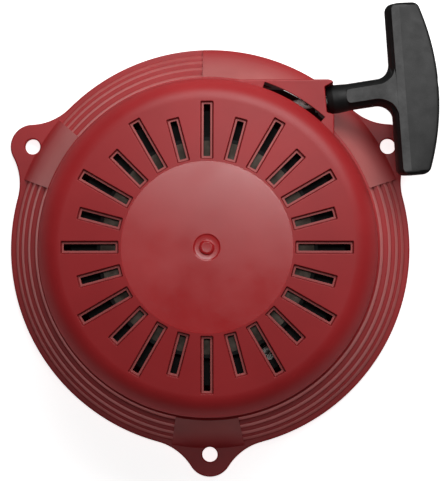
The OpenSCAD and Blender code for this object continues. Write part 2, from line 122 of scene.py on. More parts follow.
def ease(t):
    """From 0 to 1 and level at both ends."""
    t = min(max(t, 0), 1)
    return t * t * (3 - 2 * t)


def rounded(points, radii, steps=4):
    """Outline with its corners rounded; a radius of 0 keeps a corner sharp."""
    out = []
    for i, p in enumerate(points):
        a, b, c = Vector(points[i - 1]), Vector(p), Vector(points[(i + 1) % len(points)])
        r = radii[i]
        u, v = (a - b), (c - b)
        if r <= 0 or u.length < 1e-6 or v.length < 1e-6:
            out.append(tuple(b))
            continue
        half = u.angle(v) / 2
        reach = min(r / math.tan(half), 0.49 * u.length, 0.49 * v.length)
        start, end = b + u.normalized() * reach, b + v.normalized() * reach
        for k in range(steps + 1):
            t = k / steps
            out.append(tuple((1 - t) ** 2 * start + 2 * t * (1 - t) * b + t * t * end))
    return out


def lathe(name, section, segments=360, start=0.0, sweep=360.0):
    """Solid of revolution about Z from a closed half section of (radius, height)."""
    full = sweep >= 360
    count = segments if full else segments + 1
    n = len(section)
    verts, faces = [], []
    for k in range(count):
        a = math.radians(start + sweep * k / segments)
        verts += [(r * math.cos(a), r * math.sin(a), z) for r, z in section]
    for k in range(segments):
        k2 = (k + 1) % count
        for i in range(n):
            j = (i + 1) % n
            if section[i][0] < 1e-6 and section[j][0] < 1e-6:
                continue
            faces.append((k * n + i, k2 * n + i, k2 * n + j, k * n + j))
    if not full:
        faces += [tuple(range(n)), tuple((count - 1) * n + i for i in range(n))]
    obj = make(name, verts, faces)
    bm = bmesh.new()
    bm.from_mesh(obj.data)
    bmesh.ops.remove_doubles(bm, verts=bm.verts, dist=1e-7)
    bmesh.ops.dissolve_degenerate(bm, edges=bm.edges, dist=1e-8)
    bmesh.ops.recalc_face_normals(bm, faces=bm.faces)
    bm.to_mesh(obj.data)
    bm.free()
    return obj


def inset(outline, d):
    """Anticlockwise outline moved inwards by d."""
    if d == 0:
        return list(outline)
    out = []
    for i, p in enumerate(outline):
        a, b, c = Vector(outline[i - 1]), Vector(p), Vector(outline[(i + 1) % len(outline)])
        u, v = (b - a).normalized(), (c - b).normalized()
        n = Vector((-u.y - v.y, u.x + v.x))
        n.normalize()
        out.append(tuple(b + n * d / max(0.3, math.sqrt(max(0.0, (1 + u.dot(v)) / 2)))))
    return out


def prism(name, outline, levels, halves=None):
    """Upright solid on an outline; each level is (height, inset).

    halves gives two corners between which both ends are split, so that a cut through them leaves no ring.
    """
    n = len(outline)
    verts, faces = [], []
    for z, d in levels:
        verts += [(x, y, z) for x, y in inset(outline, d)]
    for k in range(len(levels) - 1):
        for i in range(n):
            j = (i + 1) % n
            faces.append((k * n + i, k * n + j, (k + 1) * n + j, (k + 1) * n + i))
    ends = [list(range(n))]
    if halves:
        i, j = halves
        ends = [list(range(i, j + 1)), list(range(j, n)) + list(range(i + 1))]
    for end in ends:
        faces += [tuple(end), tuple((len(levels) - 1) * n + k for k in end)]
    return make(name, verts, faces)


def circle(r, steps):
    return [(r * math.cos(math.tau * k / steps), r * math.sin(math.tau * k / steps)) for k in range(steps)]


def place(obj, matrix):
    """Moves a mesh by a matrix whose translation is in mm."""
    m = matrix.copy()
    m.translation = m.translation * MM
    obj.data.transform(m)
    return obj


def turn(angle):
    return Matrix.Rotation(math.radians(angle), 4, "Z")


def at_outlet(direction, x=0.0):
    """From a frame whose X runs out of the outlet to the frame of the part."""
    origin = Matrix.Translation((OUTLET[0], OUTLET[1], ROPE_Z))
    return origin @ turn(direction) @ Matrix.Translation((x, 0, 0))


AXIS_X = Matrix.Rotation(math.radians(90), 4, "Y")


def apply_modifiers(obj):
    bpy.context.view_layer.update()
    done = bpy.data.meshes.new_from_object(obj.evaluated_get(bpy.context.evaluated_depsgraph_get()))
    obj.modifiers.clear()
    obj.data = done


def combine(obj, others, operation):
    """Boolean of obj with each of the others, which are used up."""
    for other in others:
        modifier = obj.modifiers.new("cut", "BOOLEAN")
        modifier.operation = operation
        modifier.solver = "MANIFOLD"
        modifier.object = other
        apply_modifiers(obj)
    for other in others:
        bpy.data.objects.remove(other)
    return obj


def joined(name, objs):
    """One object from several that don't touch."""
    bm = bmesh.new()
    for o in objs:
        bm.from_mesh(o.data)
        bpy.data.objects.remove(o)
    mesh = bpy.data.meshes.new(name)
    bm.to_mesh(mesh)
    bm.free()
    return add_object(name, mesh)


def smooth(obj, angle):
    """Smooth shading between faces that meet at less than the angle, led by the large faces."""
    obj.data.shade_smooth()
    obj.data.set_sharp_from_angle(angle=math.radians(angle))
    modifier = obj.modifiers.new("weights", "WEIGHTED_NORMAL")
    modifier.keep_sharp = True
    modifier.weight = 80
    apply_modifiers(obj)
    return obj


def tube(name, path, radius, sides, closed=False):
    """Tube along a path in mm, with a UV layer: u along it in pitches of the braid, v round it."""
    pts = [Vector(p) for p in path]
    n = len(pts)
    tangents = []
    for i in range(n):
        a = pts[i - 1] if closed or i > 0 else pts[0]
        b = pts[(i + 1) % n] if closed or i < n - 1 else pts[-1]
        tangents.append((b - a).normalized())
    ref = Vector((0, 0, 1)) if abs(tangents[0].z) < 0.9 else Vector((1, 0, 0))
    verts, along, s = [], [], 0.0
    normal = (ref - tangents[0] * ref.dot(tangents[0])).normalized()
    for i in range(n):
        t = tangents[i]
        normal = (normal - t * normal.dot(t)).normalized()
        side = t.cross(normal)
        for k in range(sides):
            a = math.tau * k / sides
            verts.append(pts[i] + (normal * math.cos(a) + side * math.sin(a)) * radius)
        along.append(s)
        if i < n - 1:
            s += (pts[i + 1] - pts[i]).length
    faces, uvs = [], []
    rings = n if closed else n - 1
    for i in range(rings):
        i2 = (i + 1) % n
        s1 = along[i]
        s2 = along[i2] if i2 > i else s + (pts[0] - pts[-1]).length
        for k in range(sides):
            k2 = (k + 1) % sides
            faces.append((i * sides + k, i * sides + k2, i2 * sides + k2, i2 * sides + k))
            uvs.append([(s1, k / sides), (s1, (k + 1) / sides), (s2, (k + 1) / sides), (s2, k / sides)])
    if not closed:
        faces.append(tuple(range(sides)))
        faces.append(tuple((n - 1) * sides + k for k in range(sides)))
        uvs += [[(0.0, 0.5)] * sides, [(s, 0.5)] * sides]
    mesh = bpy.data.meshes.new(name)
    mesh.from_pydata([tuple(v * MM) for v in verts], [], faces)
    layer = mesh.uv_layers.new(name="UVMap")
    loop = 0
    for corners in uvs:
        for u, v in corners:
            layer.data[loop].uv = (u / BRAID_PITCH, v)
            loop += 1
    mesh.shade_smooth()
    face_outwards(mesh)
    return add_object(name, mesh)


# ---------- materials ----------

def principled(name, colour, roughness, metallic=0.0, specular=0.5):
    """New material, with its nodes, its links and its shader."""
    mat = bpy.data.materials.new(name)
    mat.use_nodes = True
    nodes = mat.node_tree.nodes
    shader = nodes["Principled BSDF"]
    shader.inputs["Base Color"].default_value = (*colour, 1)
    shader.inputs["Roughness"].default_value = roughness
    shader.inputs["Metallic"].default_value = metallic
    shader.inputs["Specular IOR Level"].default_value = specular
    return mat, nodes, mat.node_tree.links, shader


def noise(nodes, links, scale, detail, rough=0.5):
    """Noise over the object in metres: about as many clouds in a metre as the scale says."""
    where = nodes.new("ShaderNodeTexCoord")
    tex = nodes.new("ShaderNodeTexNoise")
    tex.inputs["Scale"].default_value = scale
    tex.inputs["Detail"].default_value = detail
    tex.inputs["Roughness"].default_value = rough
    links.new(where.outputs["Object"], tex.inputs["Vector"])
    return tex.outputs["Fac"]


def ramp(nodes, links, value, stops):
    """Colour from a value, by stops of (position, colour)."""
    node = nodes.new("ShaderNodeValToRGB")
    links.new(value, node.inputs["Fac"])
    while len(node.color_ramp.elements) < len(stops):
        node.color_ramp.elements.new(0.5)
    for element, (at, colour) in zip(node.color_ramp.elements, stops):
        element.position = at
        element.color = (*colour, 1)
    return node.outputs["Color"]


def grey(v):
    return (v, v, v)


def bump(nodes, links, shader, height, strength, distance, edge=0.0):
    """Bump from a height, over normals that are rounded near edges."""
    node = nodes.new("ShaderNodeBump")
    node.inputs["Strength"].default_value = strength
    node.inputs["Distance"].default_value = distance
    links.new(height, node.inputs["Height"])
    if edge > 0:
        bevel = nodes.new("ShaderNodeBevel")
        bevel.samples = 6
        bevel.inputs["Radius"].default_value = edge
        links.new(bevel.outputs["Normal"], node.inputs["Normal"])
    links.new(node.outputs["Normal"], shader.inputs["Normal"])


def red_moulding(name, dark, light, gloss, patchy=0.08, fade=None, sheen=0.0):
    """Satin red plastic with faint flow mottling and a fine grain, its gloss patchy.

    Between the two heights of fade, the painted reflection or painted shade of a material turns into the
    plain red. Sheen, tinted pink, is a painted reflection of the bright surroundings on faces seen at
    grazing angles.
    """
    mat, nodes, links, shader = principled(name, light, gloss)
    # sheen: painted reflection at grazing angles
    shader.inputs["Sheen Weight"].default_value = sheen
    shader.inputs["Sheen Roughness"].default_value = 0.35
    shader.inputs["Sheen Tint"].default_value = (1.0, 0.66, 0.64, 1)
    mottle = noise(nodes, links, 30, 4, 0.55)
    colour = ramp(nodes, links, mottle, [(0.30, dark), (0.70, light)])
    if fade:
        where = nodes.new("ShaderNodeTexCoord")
        split = nodes.new("ShaderNodeSeparateXYZ")
        links.new(where.outputs["Object"], split.inputs[0])
        near = ramp(nodes, links, split.outputs["Z"], [(fade[0], grey(0)), (fade[1], grey(1))])
        mix = nodes.new("ShaderNodeMix")
        mix.data_type = "RGBA"
        mix.inputs["A"].default_value = (*PLAIN_RED, 1)
        links.new(near, mix.inputs["Factor"])
        links.new(colour, mix.inputs["B"])
        colour = mix.outputs["Result"]
    links.new(colour, shader.inputs["Base Color"])
    cloud = noise(nodes, links, 55, 6, 0.6)
    rough = ramp(nodes, links, cloud, [(0.3, grey(gloss)), (0.7, grey(gloss + patchy))])
    links.new(rough, shader.inputs["Roughness"])
    grain = noise(nodes, links, 1400, 2)
    bump(nodes, links, shader, grain, strength=0.10, distance=0.0001, edge=0.00035)
    return mat


def black_grip(name, dark, light, rough, specular=0.5):
    """Black rubbery plastic with a fine grain, in soft clouds where hands have rubbed it."""
    mat, nodes, links, shader = principled(name, grey(light), rough, specular=specular)
    cloud = noise(nodes, links, 70, 9, 0.72)
    colour = ramp(nodes, links, cloud, [(0.36, grey(dark)), (0.64, grey(light))])
    links.new(colour, shader.inputs["Base Color"])
    rubbed, spread = noise(nodes, links, 220, 3), 0.07
    patchy = ramp(nodes, links, rubbed, [(0.3, grey(rough - spread)), (0.7, grey(rough + spread))])
    links.new(patchy, shader.inputs["Roughness"])
    grain = noise(nodes, links, 1700, 3, 0.6)
    bump(nodes, links, shader, grain, strength=0.35, distance=0.00012, edge=0.0003)
    return mat


def black_reel():
    """Black nylon, which stays dark in the shade of the case."""
    mat, nodes, links, shader = principled("black_reel", grey(0.006), 0.55, specular=0.25)
    cloud = noise(nodes, links, 50, 4, 0.6)
    colour = ramp(nodes, links, cloud, [(0.3, grey(0.004)), (0.7, grey(0.009))])
    links.new(colour, shader.inputs["Base Color"])
    bump(nodes, links, shader, noise(nodes, links, 900, 2), strength=0.2, distance=0.0001, edge=0.0003)
    return mat


def metal(name, low, high, rough_low, rough_high, scale=120.0):
    """Bare or plated metal: two tones in clouds, and a roughness in smaller ones."""
    mat, nodes, links, shader = principled(name, high, rough_high, metallic=1.0)
    cloud = noise(nodes, links, scale, 5, 0.65)
    links.new(ramp(nodes, links, cloud, [(0.3, low), (0.7, high)]), shader.inputs["Base Color"])
    scuffs = noise(nodes, links, scale * 3, 4)
    rough = ramp(nodes, links, scuffs, [(0.3, grey(rough_low)), (0.7, grey(rough_high))])
    links.new(rough, shader.inputs["Roughness"])
    bump(nodes, links, shader, noise(nodes, links, 2400, 2), strength=0.15, distance=0.00005, edge=0.0002)
    return mat


def braid():
    """Off-white braid: two families of strands that cross, with a dark fleck in one cell of seven, and
    painted shade down between the strands.
    """
    mat, nodes, links, shader = principled("rope", (0.62, 0.59, 0.53), 0.8)
    uv = nodes.new("ShaderNodeTexCoord")
    split = nodes.new("ShaderNodeSeparateXYZ")
    links.new(uv.outputs["UV"], split.inputs[0])

    def math_node(operation, a, b=None):
        node = nodes.new("ShaderNodeMath")
        node.operation = operation
        for socket, value in zip(node.inputs, (a, b)):
            if value is None:
                continue
            if isinstance(value, (int, float)):
                socket.default_value = value
            else:
                links.new(value, socket)
        return node.outputs[0]

    along = math_node("MULTIPLY", split.outputs["X"], 2.0)
    around = math_node("MULTIPLY", split.outputs["Y"], 6.0)
    one, two = math_node("ADD", along, around), math_node("SUBTRACT", along, around)
    wave_one = math_node("ABSOLUTE", math_node("SINE", math_node("MULTIPLY", one, math.pi)))
    wave_two = math_node("ABSOLUTE", math_node("SINE", math_node("MULTIPLY", two, math.pi)))
    height = math_node("MAXIMUM", wave_one, wave_two)
    cell_one, cell_two = math_node("FLOOR", one), math_node("FLOOR", two)
    cell = math_node("ABSOLUTE", math_node("ADD", math_node("MULTIPLY", cell_one, 3.0), cell_two))
    fleck = math_node("MODULO", cell, 7.0)
    dark = math_node("LESS_THAN", fleck, 0.5)
    # the colour darkens down between the strands: painted shade in the creases
    tone = math_node("MULTIPLY", math_node("SUBTRACT", 1.0, math_node("MULTIPLY", dark, 0.8)),
                     math_node("ADD", math_node("MULTIPLY", height, 0.25), 0.75))
    colour = ramp(nodes, links, tone, [(0.1, (0.05, 0.045, 0.04)), (0.95, (0.95, 0.93, 0.88))])
    links.new(colour, shader.inputs["Base Color"])
    bump(nodes, links, shader, height, strength=0.6, distance=0.0005)
    return mat


PLAIN_RED = (0.40, 0.0155, 0.0185)
RED = red_moulding("red_moulding", (0.365, 0.0130, 0.0160), (0.430, 0.0175, 0.0210), 0.40)
# flat disc on top: a glossier finish, and a lighter red that is painted light on the top face
RED_DISC_LIGHTENED = red_moulding("red_disc_lightened", (0.430, 0.0125, 0.0150), (0.500, 0.0170, 0.0200), 0.155, patchy=0.09)
# smooth patches: a matt finish, and a pink, desaturated red with sheen that is painted reflection, fading to
# plain red at the foot
RED_MATT_REFLECTION = red_moulding("red_matt_reflection", (0.39, 0.066, 0.063), (0.49, 0.108, 0.102), 0.50,
                        fade=(0.006, 0.018), sheen=0.7)
# lower and right patches: a darker red, painted shade on the patches turned away from the light
RED_PATCH_SHADE = red_moulding("red_patch_shade", (0.26, 0.035, 0.034), (0.35, 0.052, 0.049), 0.50, fade=(0.0045, 0.015))
# risers: a pinker red with sheen, painted reflection of the bright surroundings on the steep faces
RED_RISER_REFLECTION = red_moulding("red_riser_reflection", (0.42, 0.038, 0.037), (0.52, 0.056, 0.054), 0.45, sheen=0.5)
# floors of the sunk vent frames: a paler pink, painted highlight
RED_LEDGE_HIGHLIGHT = red_moulding("red_ledge_highlight", (0.36, 0.062, 0.060), (0.50, 0.115, 0.108), 0.50)
# walls of the sunk vent frames: a darker red, painted shade in the recesses
RED_RECESS_SHADE = red_moulding("red_recess_shade", (0.20, 0.008, 0.010), (0.25, 0.011, 0.013), 0.50)
GRIP = black_grip("black_grip", 0.017, 0.032, 0.55)
GRIP_PANEL = black_grip("black_grip_panel", 0.030, 0.078, 0.60)
# steep sides and the foot of the handle: a darker black, painted shade
GRIP_SIDE_SHADE = black_grip("black_grip_side_shade", 0.004, 0.008, 0.50, specular=0.30)
REEL, ROPE = black_reel(), braid()
ZINC = metal("zinc_steel", (0.42, 0.42, 0.42), (0.62, 0.62, 0.60), 0.25, 0.45)
SPRING = metal("spring_steel", (0.16, 0.17, 0.19), (0.30, 0.31, 0.33), 0.25, 0.4)
COVER = metal("cover_steel", (0.045, 0.037, 0.030), (0.120, 0.098, 0.082), 0.4, 0.6, scale=70)
BRASS = metal("brass", (0.42, 0.30, 0.12), (0.60, 0.45, 0.18), 0.3, 0.45)


def finish_piece(obj, material, body=None, replaces=()):
    """Gives a new piece its material, slot and body, and says which CAD nodes it stands for."""
    obj.data.materials.clear()
    obj.data.materials.append(material)
    if body:
        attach(obj, body)
    if replaces:
        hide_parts(*replaces)


# ---------- the case ----------

def shoulder(r, step):
    """Arc of the shoulder from the wall of the dome up to its sloping top."""
    sweep = 90 - TOP_TILT
    count = int(sweep / step)
    arc = [polar(r, sweep * k / count) for k in range(count + 1)]
    return [(DOME_R - SHOULDER_R + x, SHOULDER_Z + y) for x, y in arc]


def case_outside():
    """Half section of the solid case, with its terraces and the edge of the disc rounded."""
    spread, soft_in, soft_out, disc_edge = 0.25, 0.3, 0.5, 1.2
    points, radii = [(0, 0), (CASE_R, 0), (CASE_R, FLANGE_T)], [0, 0.3, 0.7]
    tops = [z for _, z in RISERS[1:]] + [SKIRT_TOP]
    for (r, z), top in zip(RISERS, tops):
        points += [(r + RISER_DRAFT + spread, z), (r - RISER_DRAFT, top)]
        radii += [soft_in, soft_out]
    arc = shoulder(SHOULDER_R, 3)
    points += [(DOME_FOOT_R, SKIRT_TOP)] + arc + [(DISC_R, CASE_H), (0, CASE_H)]
    radii += [soft_out] + [0] * len(arc) + [disc_edge, 0]
    return rounded(points, radii)


def case_inside():
    """Half section of the hollow, from below the mounting face."""
    wall = [(0, -1), (RIM_IN, -1), (RIM_IN, FLANGE_T), (DOME_IN, SKIRT_TOP - 3.4)]
    return wall + shoulder(SHOULDER_R - WALL, 6) + [(DISC_R, CASE_H - WALL), (0, CASE_H - WALL)]


def rim_outline():
    """Rim with three ears, each with hollow fillets tangent to the rim and to its tip."""
    far, near = CASE_R + EAR_FILLET, EAR_R + EAR_FILLET
    spread = math.acos((far * far + BOLT_R * BOLT_R - near * near) / (2 * far * BOLT_R))
    fillet_steps, tip_steps, rim_steps = 12, 28, 72
    ear = []
    centre = Vector((far * math.cos(spread), -far * math.sin(spread)))
    to_rim = math.atan2(-centre.y, -centre.x)
    to_tip = math.atan2(-centre.y, BOLT_R - centre.x)
    for k in range(fillet_steps + 1):
        a = to_rim + (to_tip - to_rim) * k / fillet_steps
        ear.append((centre.x + EAR_FILLET * math.cos(a), centre.y + EAR_FILLET * math.sin(a)))
    edge = to_tip - math.pi
    for k in range(1, tip_steps):
        a = edge - 2 * edge * k / tip_steps
        ear.append((BOLT_R + EAR_R * math.cos(a), EAR_R * math.sin(a)))
    ear += [(x, -y) for x, y in reversed(ear[:fillet_steps + 1])]
    out = []
    for base in EAR_ANGLES:
        a = math.radians(base)
        out += [(x * math.cos(a) - y * math.sin(a), x * math.sin(a) + y * math.cos(a)) for x, y in ear]
        first, last = a + spread, a + math.tau / len(EAR_ANGLES) - spread
        for k in range(1, rim_steps):
            b = first + (last - first) * k / rim_steps
            out.append((CASE_R * math.cos(b), CASE_R * math.sin(b)))
    return out


def patch(start, end):
    """Smooth cone that covers the terraces between two angles, hollow at its foot."""
    proud, foot = 0.15, RISERS[0][0]
    section = [(foot + 3.2, FLANGE_T - 0.2), (foot + 3.0, FLANGE_T + 0.1), (foot + 2.2, FLANGE_T + 0.7),
               (foot + 1.3, FLANGE_T + 1.7), (foot + 0.5, FLANGE_T + 2.9),
               (foot - RISER_DRAFT + proud, RISERS[1][1]),
               (RISERS[3][0] - RISER_DRAFT + proud, SKIRT_TOP), (DOME_FOOT_R - 1, SKIRT_TOP),
               (RISERS[1][0] - 2, FLANGE_T - 0.2)]
    return lathe("patch", section, int(end - start) + 1, start, end - start)


def block_outline(wall, corner, steps):
    x1, y1, x2, y2 = BLOCK_ROOT[0] + wall, BLOCK_ROOT[1] + wall, BLOCK_X - wall, BLOCK_Y - wall
    return rounded([(x1, y1), (x2, y1), (x2, y2), (x1, y2)], [0, 0, corner, 0], steps)


def block():
    """Solid block for the outlet, with its top edge rounded."""
    edge = [(0.8, 0), (0.45, 0.1), (0.15, 0.35), (0, 0.8)]
    levels = [(0, 0)] + [(BLOCK_H - down, d) for down, d in edge]
    return prism("block", block_outline(0, BLOCK_CORNER, 8), levels)


def block_hollow():
    """Hollow of the block, which stays behind the wall of the pocket and inside the rim."""
    hollow = prism("cavity", block_outline(WALL, 0.5, 4), [(-1, 0), (BLOCK_H - WALL, 0)])
    low, size = ROPE_Z - HOLLOW_DROP, 40
    keep = prism("keep", [(0, -size), (size, -size), (size, size), (0, size)], [(low, 0), (low + size, 0)])
    to_outlet = Matrix.Translation((OUTLET[0], OUTLET[1], 0)) @ turn(POCKET_DIR)
    place(keep, to_outlet @ Matrix.Translation((-POCKET_BACK - POCKET_WALL, 0, 0)))
    combine(hollow, [keep], "DIFFERENCE")
    drum = lathe("drum", [(0, -2), (RIM_IN, -2), (RIM_IN, CASE_H), (0, CASE_H)], 180)
    return combine(hollow, [drum], "INTERSECT")


def pocket_cutters():
    """Funnel for the foot of the handle, open on top, and the hole behind it."""
    back, r1 = -POCKET_BACK, POCKET_END_R + POCKET_FLARE * POCKET_REACH
    funnel = lathe("funnel", [(0, 0), (POCKET_END_R, 0), (r1, POCKET_REACH), (0, POCKET_REACH)], 64)
    place(funnel, at_outlet(POCKET_DIR, back) @ AXIS_X)
    trough = rounded([(back, -POCKET_END_R), (back + POCKET_REACH, -r1), (back + POCKET_REACH, r1),
                      (back, POCKET_END_R)], [0.8, 0, 0, 0.8])
    trough = prism("trough", trough, [(0, 0), (7.1, 0), (7.5, -0.25), (8.5, -1.2)])
    place(trough, at_outlet(POCKET_DIR))
    hole = prism("hole", circle(EYELET_HOLE_R, 48), [(0, 0), (POCKET_WALL + 2, 0)])
    place(hole, at_outlet(POCKET_DIR, back - POCKET_WALL - 1) @ AXIS_X)
    return [funnel, trough, hole]


def vent_cutters():
    """Narrow opening of each vent, and the sunk frame with drafted sides round it."""
    openings, frames = [], []
    half = VENT_W / 2
    slope = Matrix.Rotation(math.radians(TOP_TILT), 4, "Y")
    tilt = Matrix.Translation((DISC_R, 0, CASE_H - VENT_SINK)) @ slope
    for i in range(VENTS):
        end = VENT_IN + (VENT_LONG if i % 2 == 0 else VENT_SHORT)
        outline = rounded([(VENT_IN, -half), (end, -half), (end, half), (VENT_IN, half)], [0.35] * 4, 3)
        slot = prism("opening", outline, [(SKIRT_TOP, 0), (CASE_H + 3, 0)])
        openings.append(place(slot, turn(VENT_STEP * i)))
        lo, hi, w = VENT_IN - VENT_FRAME - DISC_R, end + VENT_FRAME - DISC_R, half + VENT_FRAME
        corners = [(lo, 0), (lo, -w), (hi, -w), (hi, 0), (hi, w), (lo, w)]
        outline = rounded(corners, [0, 0.6, 0.6, 0, 0.6, 0.6], 3)
        levels = [(0, 0.55), (VENT_SINK - 0.25, 0.05), (VENT_SINK, 0), (6, 0)]
        sunk = prism("frame", outline, levels, halves=(0, 9))
        frames.append(place(sunk, turn(VENT_STEP * i) @ tilt))
    return [joined("openings", openings), joined("frames", frames)]


def ring_sector(name, r1, r2, z1, z2, middle, half):
    """Part of a ring between two radii and two heights, by its middle angle and half its sweep."""
    section = [(r1, z1), (r2, z1), (r2, z2), (r1, z2)]
    return lathe(name, section, int(2 * half), middle - half, 2 * half)


# the case's materials: real finishes, and reds with painted reflection, highlight and shade
CASE_FINISHES_AND_PAINTED_LIGHT = [RED, RED_DISC_LIGHTENED, RED_MATT_REFLECTION, RED_PATCH_SHADE, RED_RISER_REFLECTION, RED_LEDGE_HIGHLIGHT, RED_RECESS_SHADE]


def case_zone(centre, up):
    """Which of the case's materials, real finishes and painted light and shade, a face of the case has, from
    its centre in mm and how far it faces up.
    """
    x, y, z = centre
    r, angle = math.hypot(x, y), math.degrees(math.atan2(y, x)) % 360
    if r < DISC_R + 0.3 and z > CASE_H - 0.5:
        return RED_DISC_LIGHTENED
    if r > DOME_R and FLANGE_T < z < SKIRT_TOP:
        if any(a < angle < b for a, b in PATCHES):
            # patches: faces that face sideways get the painted pink reflection, and on the lower and right
            # patches a darker painted shade instead
            patch_reflection_or_shade = RED_MATT_REFLECTION if angle < SHADED_PATCHES_FROM else RED_PATCH_SHADE
            return patch_reflection_or_shade if 0.2 < up < 0.9 else RED
        # faces of the terraces that face sideways get the painted reflection
        return RED_RISER_REFLECTION if 0.05 < up < 0.8 else RED
    nearest = round(angle / VENT_STEP)
    across = r * math.sin(math.radians(angle - VENT_STEP * nearest))
    length = VENT_LONG if nearest % 2 == 0 else VENT_SHORT
    margin = VENT_FRAME + 0.5
    depth = CASE_H - (r - DISC_R) * DOME_FALL / TOP_RUN - z
    inside = abs(across) < VENT_W / 2 + margin and VENT_IN - margin < r < VENT_IN + length + margin
    if inside and 0.05 < depth < VENT_SINK + 0.2:
        # in the sunk vent frames the floors get a painted highlight and the walls painted shade
        return RED_LEDGE_HIGHLIGHT if up > 0.9 else RED_RECESS_SHADE
    return RED


def case_openings():
    """Everything that is cut out of the solid case."""
    shell = lathe("inside", case_inside(), 180)
    shift = 1.5  # from where the rope crosses the wall of the dome to the middle of the openings
    cross = 90 + shift + ROPE_DIR - math.degrees(math.acos(WRAP_R / DOME_R))
    roof = BLOCK_H - WALL
    window = ring_sector("window", DOME_R - 6, DOME_R + 2.5, ROPE_Z - HOLLOW_DROP, roof, cross, WINDOW_HALF)
    sight = ring_sector("sight", DOME_R - 0.2, DOME_R + 2.6, roof - 2, BLOCK_H + 2, cross, SIGHT_HALF)
    dish = lathe("dish", [(0, CASE_H - 0.3), (DISH_R - 0.65, CASE_H - 0.3), (DISH_R - 0.3, CASE_H - 0.18),
                          (DISH_R, CASE_H + 0.01), (DISH_R, CASE_H + 1), (0, CASE_H + 1)], 96)
    levels = [(-1, 0), (0, -0.4), (0.4, 0), (FLANGE_T - 0.4, 0), (FLANGE_T, -0.4), (FLANGE_T + 1, -0.4)]
    holes = [place(prism("hole", circle(FIXING_R, 48), levels), turn(a) @ Matrix.Translation((BOLT_R, 0, 0)))
             for a in EAR_ANGLES]
    cuts = [shell, block_hollow(), window, sight, dish, joined("holes", holes)]
    return cuts + pocket_cutters() + vent_cutters()


def case_details():
    """What is added last: the gate mark, the ribs under the shoulder, and the post with its bore."""
    nub = lathe("nub", rounded([(0, CASE_H - 1), (NUB_R, CASE_H - 1), (NUB_R - 0.25, CASE_H + 0.1),
                                (NUB_R - 1.15, CASE_H + 0.28), (0, CASE_H + 0.2)], [0, 0, 0.3, 0.3, 0]), 72)
    inner, outer, t = DOME_R - WALL - 3, DOME_R - WALL + 0.5, RIB_HALF_T
    outline = rounded([(inner, -t), (outer, -t), (outer, t), (inner, t)], [0.4, 0, 0, 0.4], 3)
    ribs = [place(prism("rib", outline, [(SKIRT_TOP, 0), (SHOULDER_Z + 4, 0)]), turn(15 + 360 / RIBS * i))
            for i in range(RIBS)]
    top, bore_end = CASE_H - WALL + 0.5, POST_END + INSERT_L
    section = [(INSERT_R, POST_END), (POST_R, POST_END), (POST_R, top), (0, top), (0, bore_end),
               (INSERT_R, bore_end)]
    post = lathe("post", rounded(section, [0.3, 0.6, 0, 0, 0, 0.2]), 96)
    x1, x2, t = POST_R - 3, POST_R + 1, SLIT_HALF
    slit = prism("slit", [(x1, -t), (x2, -t), (x2, t), (x1, t)], [(WELL_Z, 0), (WELL_Z + 10, 0)])
    combine(post, [slit], "DIFFERENCE")
    return [nub, joined("ribs", ribs), post]


def build_case():
    """Solid outside first, then all that is cut out of it, then what stands inside."""
    body = lathe("case_shell", case_outside(), 360)
    edge = [(0, 0.3), (0.3, 0), (FLANGE_T - 0.7, 0), (FLANGE_T - 0.35, 0.1), (FLANGE_T - 0.1, 0.35),
            (FLANGE_T, 0.7)]
    rim = prism("rim", rim_outline(), edge)
    combine(body, [rim] + [patch(a, b) for a, b in PATCHES] + [block()], "UNION")
    combine(body, case_openings(), "DIFFERENCE")
    combine(body, case_details(), "UNION")
    smooth(body, 28)
    finish_piece(body, RED, "housing", ["starter_case"])
    for extra in CASE_FINISHES_AND_PAINTED_LIGHT[1:]:
        body.data.materials.append(extra)
    for face in body.data.polygons:
        zone = case_zone([c / MM for c in face.center], face.normal.z)
        face.material_index = CASE_FINISHES_AND_PAINTED_LIGHT.index(zone)


build_case()

# ---------- the handle ----------

def fillet_reach(t, r):
    """How far a concave fillet of radius r stands out, t being how far along it one is."""
    t = min(max(t, 0.0), r)
    return r - math.sqrt(r * r - t * t)


def loft(name, sections):
    """Solid through sections of the same number of points, closed at both ends."""
    n = len(sections[0])
    verts = [p for section in sections for p in section]
    faces = []
    for k in range(len(sections) - 1):
        for i in range(n):
            j = (i + 1) % n
            faces.append((k * n + i, k * n + j, (k + 1) * n + j, (k + 1) * n + i))
    faces += [tuple(range(n)), tuple((len(sections) - 1) * n + i for i in range(n))]
    return make(name, verts, faces)


def mirrored(upper):
    """Closed loop of (across, up) from its upper half, which runs from one side to the other."""
    return upper + [(a, -b) for a, b in reversed(upper) if abs(b) > 1e-6]


